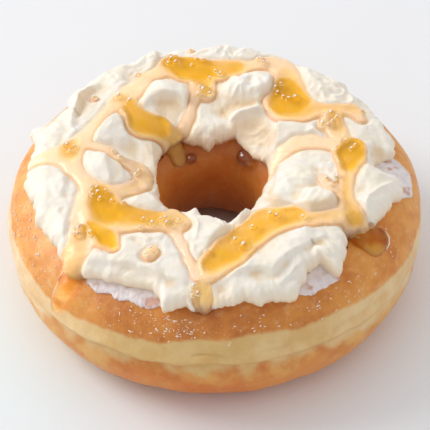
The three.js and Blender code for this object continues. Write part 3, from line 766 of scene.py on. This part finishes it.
def linear(red, green, blue):
    """Scene colour of an sRGB colour given as 0 to 255, for values above the curve's straight start."""
    return tuple(((value / 255 + 0.055) / 1.055) ** 2.4 for value in (red, green, blue)) + (1.0,)


class Nodes:
    """Short way to write a material's node tree."""

    def __init__(self, name):
        self.material = bpy.data.materials.new(name)
        self.material.use_nodes = True
        self.tree = self.material.node_tree
        self.tree.nodes.clear()
        self.output = self.tree.nodes.new("ShaderNodeOutputMaterial")

    def add(self, kind, settings=None, ordered=(), **named):
        """A node with its settings, then its inputs: values in order, or values by name."""
        node = self.tree.nodes.new("ShaderNode" + kind)
        for key, value in (settings or {}).items():
            setattr(node, key, value)
        for number, value in enumerate(ordered):
            self.put(node.inputs[number], value)
        for key, value in named.items():
            self.put(node.inputs[key.replace("_", " ")], value)
        return node

    def put(self, socket, value):
        if isinstance(value, bpy.types.NodeSocket):
            self.tree.links.new(value, socket)
        else:
            socket.default_value = value

    def coords(self):
        return self.add("TexCoord").outputs["Object"]

    def noise(self, scale, detail=3.0, roughness=0.55):
        """Noise whose lumps are about 1 / scale metres wide."""
        node = self.add("TexNoise", Vector=self.coords(), Scale=scale, Detail=detail, Roughness=roughness)
        return node.outputs["Fac"]

    def attribute(self, name):
        return self.add("Attribute", {"attribute_name": name}).outputs["Fac"]

    def distance(self, point):
        """How far from the point, in metres."""
        return self.add("VectorMath", {"operation": "DISTANCE"}, (self.coords(), point)).outputs["Value"]

    def ramp(self, factor, low, high):
        """0 to 1 as the factor goes from low to high."""
        smooth = {"interpolation_type": "SMOOTHSTEP"}
        return self.add("MapRange", smooth, Value=factor, From_Min=low, From_Max=high).outputs["Result"]

    def math(self, operation, first, second):
        return self.add("Math", {"operation": operation}, (first, second)).outputs[0]

    def times(self, first, second):
        return self.math("MULTIPLY", first, second)

    def mix(self, factor, first, second):
        return self.add("Mix", {"data_type": "RGBA"}, Factor=factor, A=first, B=second).outputs["Result"]

    def bump(self, height, strength, distance):
        return self.add("Bump", Strength=strength, Distance=distance, Height=height).outputs["Normal"]

    def finish(self, shader, volume=None):
        self.tree.links.new(shader.outputs[0], self.output.inputs["Surface"])
        if volume:
            self.tree.links.new(volume.outputs[0], self.output.inputs["Volume"])
        return self.material


def cream_material():
    """Soft white, with painted shade: a darker warm tone in hollows and towards both edges."""
    n = Nodes("cream")
    tone = n.mix(n.ramp(n.noise(160), 0.35, 0.7), linear(255, 247, 235), linear(253, 243, 226))
    # Painted shade: where the shade attribute is high, the cream's colour turns to a darker warm tone.
    tone = n.mix(n.attribute("shade"), tone, linear(242, 216, 178))
    coarse = n.times(n.noise(380, 3), 1.2)
    height = n.math("ADD", coarse, n.times(n.noise(1100, 4), 0.4))
    shader = n.add("BsdfPrincipled", Base_Color=tone, Roughness=0.5, IOR=1.4, Specular_IOR_Level=0.3,
                   Subsurface_Weight=0.25, Subsurface_Scale=0.0008, Normal=n.bump(height, 0.4, 0.0006))
    shader.inputs["Subsurface Radius"].default_value = (1.0, 0.65, 0.4)
    return n.finish(shader)


def dough_material():
    """Fried brown top and underside with dried glaze, and a pale waist between them."""
    n = Nodes("dough")
    mottle = n.noise(170, 5, 0.6)
    fine = n.noise(1000, 4, 0.6)
    brown = n.attribute("brown")
    blotches = n.ramp(mottle, 0.35, 0.7)
    fried = n.mix(blotches, linear(246, 177, 84), linear(228, 141, 50))
    dark = n.mix(blotches, linear(216, 138, 56), linear(190, 106, 36))
    fried = n.mix(brown, fried, dark)
    glazed = n.math("SUBTRACT", 0.6, n.times(brown, 0.3))
    glazed = n.times(n.ramp(n.noise(420, 6, 0.7), 0.50, 0.70), glazed)
    fried = n.mix(glazed, fried, linear(242, 198, 140))
    clouds = n.ramp(mottle, 0.3, 0.7)
    pale = n.mix(clouds, linear(248, 220, 176), linear(238, 196, 138))
    tanned = n.mix(clouds, linear(230, 198, 134), linear(218, 178, 108))
    pale = n.mix(brown, pale, tanned)
    patches = n.ramp(n.noise(110, 5, 0.65), 0.38, 0.62)
    golden = n.mix(patches, linear(242, 200, 122), linear(234, 166, 84))
    toasted = n.mix(patches, linear(226, 160, 78), linear(206, 112, 38))
    golden = n.mix(brown, golden, toasted)
    lower = n.mix(n.attribute("base"), pale, golden)
    under = n.mix(brown, linear(240, 172, 92), linear(220, 124, 44))
    lower = n.mix(n.times(n.attribute("low"), 0.75), lower, under)
    # Painted shade: a darker brown line along the seam, where its crease would lie in shadow.
    lower = n.mix(n.times(n.attribute("fold"), 0.6), lower, linear(188, 128, 62))
    colour = n.mix(n.attribute("waist"), fried, lower)
    colour = n.mix(n.times(n.attribute("hole"), 0.6), colour, linear(196, 106, 38))
    # Painted light: the dough under the drips is made paler, as if light shone through the honey onto it.
    colour = n.mix(n.attribute("painted_glow"), colour, linear(250, 226, 182))
    # Painted shade: the dough under parts of the drips is made darker.
    colour = n.mix(n.attribute("painted_drip_shade"), colour, linear(150, 84, 54))
    height = n.math("ADD", fine, n.times(mottle, 1.5))
    shader = n.add("BsdfPrincipled", Base_Color=colour, Roughness=0.5, IOR=1.45, Coat_Weight=0.12,
                   Subsurface_Weight=0.3, Subsurface_Scale=0.0015, Normal=n.bump(height, 0.6, 0.0003))
    shader.inputs["Subsurface Radius"].default_value = (1.0, 0.5, 0.2)
    return n.finish(shader)


def honey_material():
    """Clear honey. Lamps shine through its surface, and its depth colours what lies under it."""
    n = Nodes("honey")
    tone = n.mix(n.attribute("deep"), (1.0, 0.76, 0.79, 1), (0.87, 0.44, 0.02, 1))
    # Painted shade: a darker brown tint along the honey's edges.
    tone = n.mix(n.attribute("rim"), tone, (0.80, 0.47, 0.30, 1))
    glass = n.add("BsdfPrincipled", Base_Color=tone, Roughness=0.0, IOR=1.48, Transmission_Weight=1.0,
                  Specular_Tint=(0.35, 0.35, 0.35, 1))
    clear = n.add("BsdfTransparent", Color=(1.0, 0.95, 0.95, 1))
    shadow = n.add("LightPath").outputs["Is Shadow Ray"]
    mixed = n.add("MixShader", None, (shadow, glass.outputs[0], clear.outputs[0]))
    volume = n.add("VolumeAbsorption", Color=(0.93, 0.86, 0.0, 1.0), Density=220.0)
    return n.finish(mixed, volume)


def plain_material(name, colour, roughness, ior=1.4):
    """One even colour."""
    n = Nodes(name)
    return n.finish(n.add("BsdfPrincipled", Base_Color=colour, Roughness=roughness, IOR=ior))


def drop_material():
    """Clear drops with a faint brown tint."""
    n = Nodes("drop")
    shader = n.add("BsdfPrincipled", Base_Color=(0.70, 0.55, 0.58, 1), Roughness=0.0, IOR=1.45,
                   Transmission_Weight=1.0)
    return n.finish(shader)


def icing_material():
    """Milky icing with thin places where the crust shows through."""
    n = Nodes("icing")
    tone = n.mix(n.ramp(n.noise(500), 0.4, 0.7), linear(240, 232, 232), linear(226, 212, 212))
    thin = n.ramp(n.noise(240, 2), 0.52, 0.62)
    tone = n.mix(n.times(thin, 0.75), tone, linear(204, 140, 108))
    shader = n.add("BsdfPrincipled", Base_Color=tone, Roughness=0.4, IOR=1.45)
    return n.finish(shader)


def floor_material():
    """White table, cooler at the dough's left front, where the crust throws warm light on it."""
    n = Nodes("floor")
    away = n.distance((-0.040, -0.026, 0))
    tone = n.mix(n.ramp(away, 0.012, 0.040), linear(240, 251, 255), linear(243, 245, 248))
    shader = n.add("BsdfPrincipled", Base_Color=tone, Roughness=0.6)
    return n.finish(shader)


def bulge(angle, lift):
    """How far the dough stands out on its right side."""
    turned = (angle - 12 + 180) % 360 - 180
    return 0.9 * np.exp(-((turned / 22) ** 2)) * np.exp(-(((lift - 25) / 26) ** 2))


def crease_relief(above, spot):
    """Swell of the dough over its seam and the step below, by the degrees of lift above the seam."""
    upper = 0.7 * np.exp(-((above / 7) ** 2))
    step = 0.7 - 1.9 * smooth_step(-above, 0, 2.2)
    lower = -1.2 * np.exp(-((-above - 2.2) / 8.0))
    crease = np.where(above > 0, upper, np.where(above < -2.2, lower, step))
    second = np.exp(-(((above - 7 - 3 * noise(spot, 9, 30)) / 1.3) ** 2)) * (noise(spot, 10, 31) > -0.1)
    return crease - 0.35 * second


def make_dough():
    """The ring with its seam. Its rows are closer together at the waist."""
    angle = np.arange(DOUGH_COLUMNS) * 360 / DOUGH_COLUMNS
    low, high = WAIST_LIFTS
    other_lifts = np.linspace(high, low + 360, OTHER_ROWS + 2)[1:-1]
    lift = np.concatenate([np.linspace(low, high, WAIST_ROWS), other_lifts])
    angle, lift = np.meshgrid(angle, lift, indexing="ij")
    wrapped = np.where(lift > 180, lift - 360, lift)
    spot = dough_skin(angle, lift)
    relief = 0.25 * noise(spot, 9, 21) + 0.12 * noise(spot, 3.5, 22) + 0.04 * noise(spot, 1.2, 23)
    relief += bulge(angle, wrapped)
    above = wrapped - round_the_ring(CREASE_LINE, angle) - 1.2 * noise(spot, 5, 24)
    strength = np.clip(round_the_ring(CREASE_STRENGTH, angle) + 0.25 * noise(spot, 6, 28), 0, 1.5)
    points = dough_skin(angle, lift, 0, relief + strength * crease_relief(above, spot))
    piece = mesh_piece("dough", points, closed_ring(points), dough_material(), "dough")
    edge = round_the_ring(FRIED_EDGE, angle) + 1.8 * noise(spot, 5, 25) + 0.8 * noise(spot, 1.6, 26)
    brown = round_the_ring(BROWNED, angle)
    patchy = 12 * noise(spot, 8, 27) + 5 * noise(spot, 3, 29) - 5 * (1 - brown) - above
    drip_reach, _, _, pale = drips_reach(angle, wrapped)
    in_drip = smooth_step(drip_reach, -0.2, 0.8)
    looks = {
        "waist": smooth_step(edge - wrapped, -1.6, 1.6) * (wrapped > -100),
        "brown": brown,
        # Painted light and painted shade on the dough under the drips.
        "painted_glow": np.maximum(pale, 0) * in_drip,
        "painted_drip_shade": np.maximum(-pale, 0) * in_drip,
        "base": smooth_step(patchy, 1, 12) * (above < 0),
        "low": smooth_step(patchy, 12, 26),
        # Painted shade along the seam, which the material reads as fold.
        "fold": np.clip(strength, 0, 1) * np.exp(-(((above + 0.8) / 1.6) ** 2)),
        "hole": smooth_step(np.abs(wrapped), 105, 150),
    }
    for name, values in looks.items():
        store(piece, name, values)
    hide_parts("dough_ring")


def cream_shade(topping):
    """Painted shade on the cream: how much darker warm tone it gets in hollows and towards both edges, but
    not under honey.
    """
    height = topping.cream
    rows = np.arange(height.shape[1])
    around = sum(np.roll(height, step, 0) for step in (-20, -12, -6, 6, 12, 20)) / 6
    across = sum(height[:, np.clip(rows + step, 0, rows[-1])] for step in (-12, -8, -4, 4, 8, 12)) / 6
    shade = 0.85 * smooth_step((around + across) / 2 - height, 0.05, 0.8)
    shade = np.maximum(shade, 0.5 * smooth_step(-topping.from_outer, -2.0, 0.2))
    shade = np.maximum(shade, 0.6 * smooth_step(-topping.from_inner, -4.0, 0.2))
    hollow_reach, hollow_share = strands_reach(SHADED_HOLLOWS, topping.spot[..., 0], topping.spot[..., 1])
    shade = np.maximum(shade, hollow_share * smooth_step(hollow_reach, -1.0, 1.0))
    return shade * smooth_step(-topping.reach, -0.2, 1.0)


def make_cream():
    """The cream's top, with its foot drawn in a little under both edges."""
    angle = np.arange(CREAM_COLUMNS)[:, None] * 360 / CREAM_COLUMNS
    outer, inner = cream_edges(angle)
    even = np.linspace(0, 1, CREAM_ROWS + 1)[None, :]
    share = (even * 3 + (1 - np.cos(np.pi * even)) / 2) / 4
    topping = Topping(angle, outer + (inner - outer) * share)
    top = dough_skin(topping.angle, topping.lift, topping.cream)
    overhang = OVERHANG / ARC_PER_DEGREE
    outer_foot = outer + overhang * (1 - 1.3 * drip_cover(angle, outer))
    inner_foot = inner - overhang * (1 - 1.3 * drip_cover(angle, inner))
    foot_lift = inner_foot + (outer_foot - inner_foot) * np.linspace(0, 1, FOOT_ROWS + 1)[None, :]
    bottom = dough_skin(np.broadcast_to(angle, foot_lift.shape), foot_lift, -FOOT_SUNK)
    points = np.concatenate([top, bottom], 1)
    piece = mesh_piece("cream", points, closed_ring(points), cream_material(), "cream")
    # The cream's top gets painted shade in hollows and near its edges; the foot gets none.
    store(piece, "shade", np.concatenate([cream_shade(topping), np.zeros(bottom.shape[:2])], 1))
    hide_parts("cream_topping")


def honey_topping():
    """The topping on the grid of places that the honey is made from."""
    angle = np.arange(HONEY_COLUMNS)[:, None] * 360 / HONEY_COLUMNS
    return Topping(angle, np.linspace(*HONEY_LIFTS, HONEY_ROWS)[None, :])


def make_honey(topping):
    """All the honey, closed below by an underside just inside the cream and the dough."""
    height = topping.honey
    floor = np.where(topping.beyond > 0.2, topping.cream - 0.3, -0.35)
    top = dough_skin(topping.angle, topping.lift, height)
    bottom = dough_skin(topping.angle, topping.lift, np.minimum(floor, height - 0.2))
    keep_point = topping.reach > -HONEY_MARGIN
    keep = keep_point[:, :-1] & keep_point[:, 1:]
    keep = keep & np.roll(keep, -1, axis=0)
    points, quads, used = sheet_body(top, bottom, keep)
    piece = mesh_piece("honey", points, quads, honey_material(), "honey")
    # Painted shade along the honey's edges, which the material reads as rim.
    rim = np.exp(-(((topping.reach - 0.08) / 0.26) ** 2))
    rim *= 0.4 + 0.6 * smooth_step(topping.share, 0.3, 0.9)
    store(piece, "rim", np.tile(rim.ravel(), 2)[used])
    store(piece, "deep", np.tile(topping.deep.ravel(), 2)[used])


def bubble_places(topping):
    """Centre of each bubble, just under the honey's surface, the way out of it, and its radius."""
    for x, y, radius in BUBBLES:
        nearest = np.argmin(np.hypot(topping.spot[..., 0] - x, topping.spot[..., 1] - y))
        angle, lift = float(topping.angle.flat[nearest]), float(topping.lift.flat[nearest])
        centre = dough_skin(angle, lift, float(topping.honey.flat[nearest]) - 1.05 * radius)
        yield centre, dough_skin(angle, lift, 1.0) - dough_skin(angle, lift), radius


def make_bubble_highlights(topping):
    """Painted highlights: pale hoops on the rims of the bubbles and pale threads on the edges of the drips.
    """
    rims = [hoop(centre, outward, 1.15 * radius) for centre, outward, radius in bubble_places(topping)]
    rims += [painted_highlight_edge(*edge) for edge in PAINTED_HIGHLIGHT_EDGES]
    # The pale bubble material on these hoops and threads is a painted highlight.
    mesh_piece("bubbles", *joined(rims), plain_material("bubble", linear(255, 240, 206), 0.3), "honey")


def make_clear_drops():
    """Drops that hang on the wall of the hole."""
    drops = []
    for angle, lift, radius in CLEAR_DROPS:
        drops.append(ball(dough_skin(angle, lift, 0.4 * radius), radius, rings=24, sides=36))
    mesh_piece("clear_drops", *joined(drops), drop_material(), "honey")


def make_painted_glints(topping):
    """Painted highlights: a small white ball for the glint on each bubble and each clear drop."""
    glints = []
    for centre, _, radius in bubble_places(topping):
        glints.append(ball(centre + radius * np.array((-0.35, 0.1, 0.75)), 0.3 * radius + 0.14, sides=12))
    for angle, lift, radius in CLEAR_DROPS:
        centre = dough_skin(angle, lift, 0.4 * radius)
        glints.append(ball(centre + radius * np.array((-0.35, -0.45, 0.72)), 0.16 * radius, sides=12))
    # White balls as painted glints.
    mesh_piece("painted_glints", *joined(glints), plain_material("painted_glints", linear(255, 246, 234), 0.2), "honey")


def icing_patch(line):
    """One patch of icing: ragged at its lower edge, with its upper edge under the cream."""
    first, last = line[0][0], line[-1][0]
    angle = np.linspace(first, last, int((last - first) * 6))
    ring = edge_ring(angle)
    lower = np.interp(angle, *zip(*line)) + 2.2 * noise(ring, 2.4, 41) + 1.0 * noise(ring, 0.8, 42)
    outer, _ = cream_edges(angle)
    upper = np.maximum(outer + 7, lower + 0.5)
    lift = lower[:, None] + (upper - lower)[:, None] * np.linspace(0, 1, ICING_ROWS)[None, :]
    angle = np.broadcast_to(angle[:, None], lift.shape)
    spot = dough_skin(angle, lift)
    inside = np.clip((lift - lower[:, None]) * ARC_PER_DEGREE / 0.5, 0, 1)
    rounded = np.sqrt(np.clip(1 - (1 - inside) ** 2, 0, 1))
    ends = np.clip(np.minimum(angle - first, last - angle), 0, 1)
    height = 0.05 + (0.3 + 0.16 * noise(spot, 1.8, 43) + 0.08 * noise(spot, 0.7, 44)) * rounded * ends
    height += bulge(angle, lift)
    return open_sheet(dough_skin(angle, lift, height), dough_skin(angle, lift, -FOOT_SUNK))


def make_icing():
    """Thin milky icing that shows on the dough below the cream."""
    patches = [icing_patch(line) for line in ICING]
    mesh_piece("icing", *joined(patches), icing_material(), "icing")


def make_specks():
    """Flecks of dried glaze on the browned top: flat drops, mostly at the front and on the left."""
    rng = np.random.default_rng(5)
    parts = []
    for centre, spread, low, high, count in SPECKS:
        angle = rng.normal(centre, spread, count)
        lift = rng.uniform(low, high, count)
        size = 0.06 + 0.16 * rng.random(count) ** 2
        stretch = rng.uniform(1.0, 3.2, count)
        turn = rng.normal(0, 0.5, count)
        parts += [flat_drop(*fleck) for fleck in zip(angle, lift, size, stretch, turn)]
    material = plain_material("glaze", linear(250, 228, 206), 0.3, 1.45)
    mesh_piece("glaze_specks", *joined(parts), material, "icing")


def make_floor():
    """The white table, which is the stage and no part of the doughnut."""
    size = 1.5
    mesh = bpy.data.meshes.new("floor")
    corners = [(-size, -size, 0), (size, -size, 0), (size, size, 0), (-size, size, 0)]
    mesh.from_pydata(corners, [], [(0, 1, 2, 3)])
    mesh.materials.append(floor_material())
    floor = bpy.data.objects.new("floor", mesh)
    bpy.context.scene.collection.objects.link(floor)


def make_camera():
    """The photo's view: from the front, about halfway up, from afar."""
    elevation = math.radians(45.2)
    distance = 0.55
    outwards = Vector((0, -math.cos(elevation), math.sin(elevation)))
    upwards = Vector((0, math.sin(elevation), math.cos(elevation)))
    aim = Vector((0.00029, 0, 0.0145)) + upwards * 0.0009
    camera = bpy.data.objects.new("camera", bpy.data.cameras.new("camera"))
    camera.data.lens = 204.5
    camera.location = aim + outwards * distance
    camera.rotation_euler = (-outwards).to_track_quat("-Z", "Y").to_euler()
    bpy.context.scene.collection.objects.link(camera)
    bpy.context.scene.camera = camera


def make_world():
    """Even studio light, a little brighter from behind the dough."""
    world = bpy.data.worlds.new("studio")
    world.use_nodes = True
    nodes, links = world.node_tree.nodes, world.node_tree.links
    background = nodes["Background"]
    direction = nodes.new("ShaderNodeTexCoord").outputs["Generated"]
    parts = nodes.new("ShaderNodeSeparateXYZ")
    links.new(direction, parts.inputs[0])
    dim = nodes.new("ShaderNodeMapRange")
    for name, value in (("From Min", -1.0), ("From Max", 0.6), ("To Min", 0.61), ("To Max", 0.78)):
        dim.inputs[name].default_value = value
    links.new(parts.outputs["Y"], dim.inputs["Value"])
    links.new(dim.outputs["Result"], background.inputs["Strength"])
    background.inputs["Color"].default_value = (1.0, 0.99, 0.995, 1)
    bpy.context.scene.world = world


def disk_lamp(name, size, energy, direction, away):
    """A round lamp at some distance in a direction, turned to the dough."""
    lamp = bpy.data.objects.new(name, bpy.data.lights.new(name, "AREA"))
    lamp.data.shape = "DISK"
    lamp.data.size = size
    lamp.data.energy = energy
    direction = Vector(direction).normalized()
    lamp.location = direction * away
    lamp.rotation_euler = (-direction).to_track_quat("-Z", "Y").to_euler()
    bpy.context.scene.collection.objects.link(lamp)
    return lamp


def make_lights():
    """A soft key from the left, and a window that only shows as glints."""
    make_world()
    key = disk_lamp("key", 0.9, 11.6, (-0.85, 0.30, 0.66), 1.6)
    key.data.color = (1.0, 0.995, 0.985)
    window = disk_lamp("window", 0.8, 3.5, (-0.85, 0.2, 0.5), 0.8)
    window.visible_diffuse = False
    bpy.context.scene.view_settings.view_transform = "Standard"


make_camera()
make_lights()
make_floor()
make_dough()
make_cream()
layer = honey_topping()
make_honey(layer)
make_bubble_highlights(layer)
make_clear_drops()
make_painted_glints(layer)
make_icing()
make_specks()
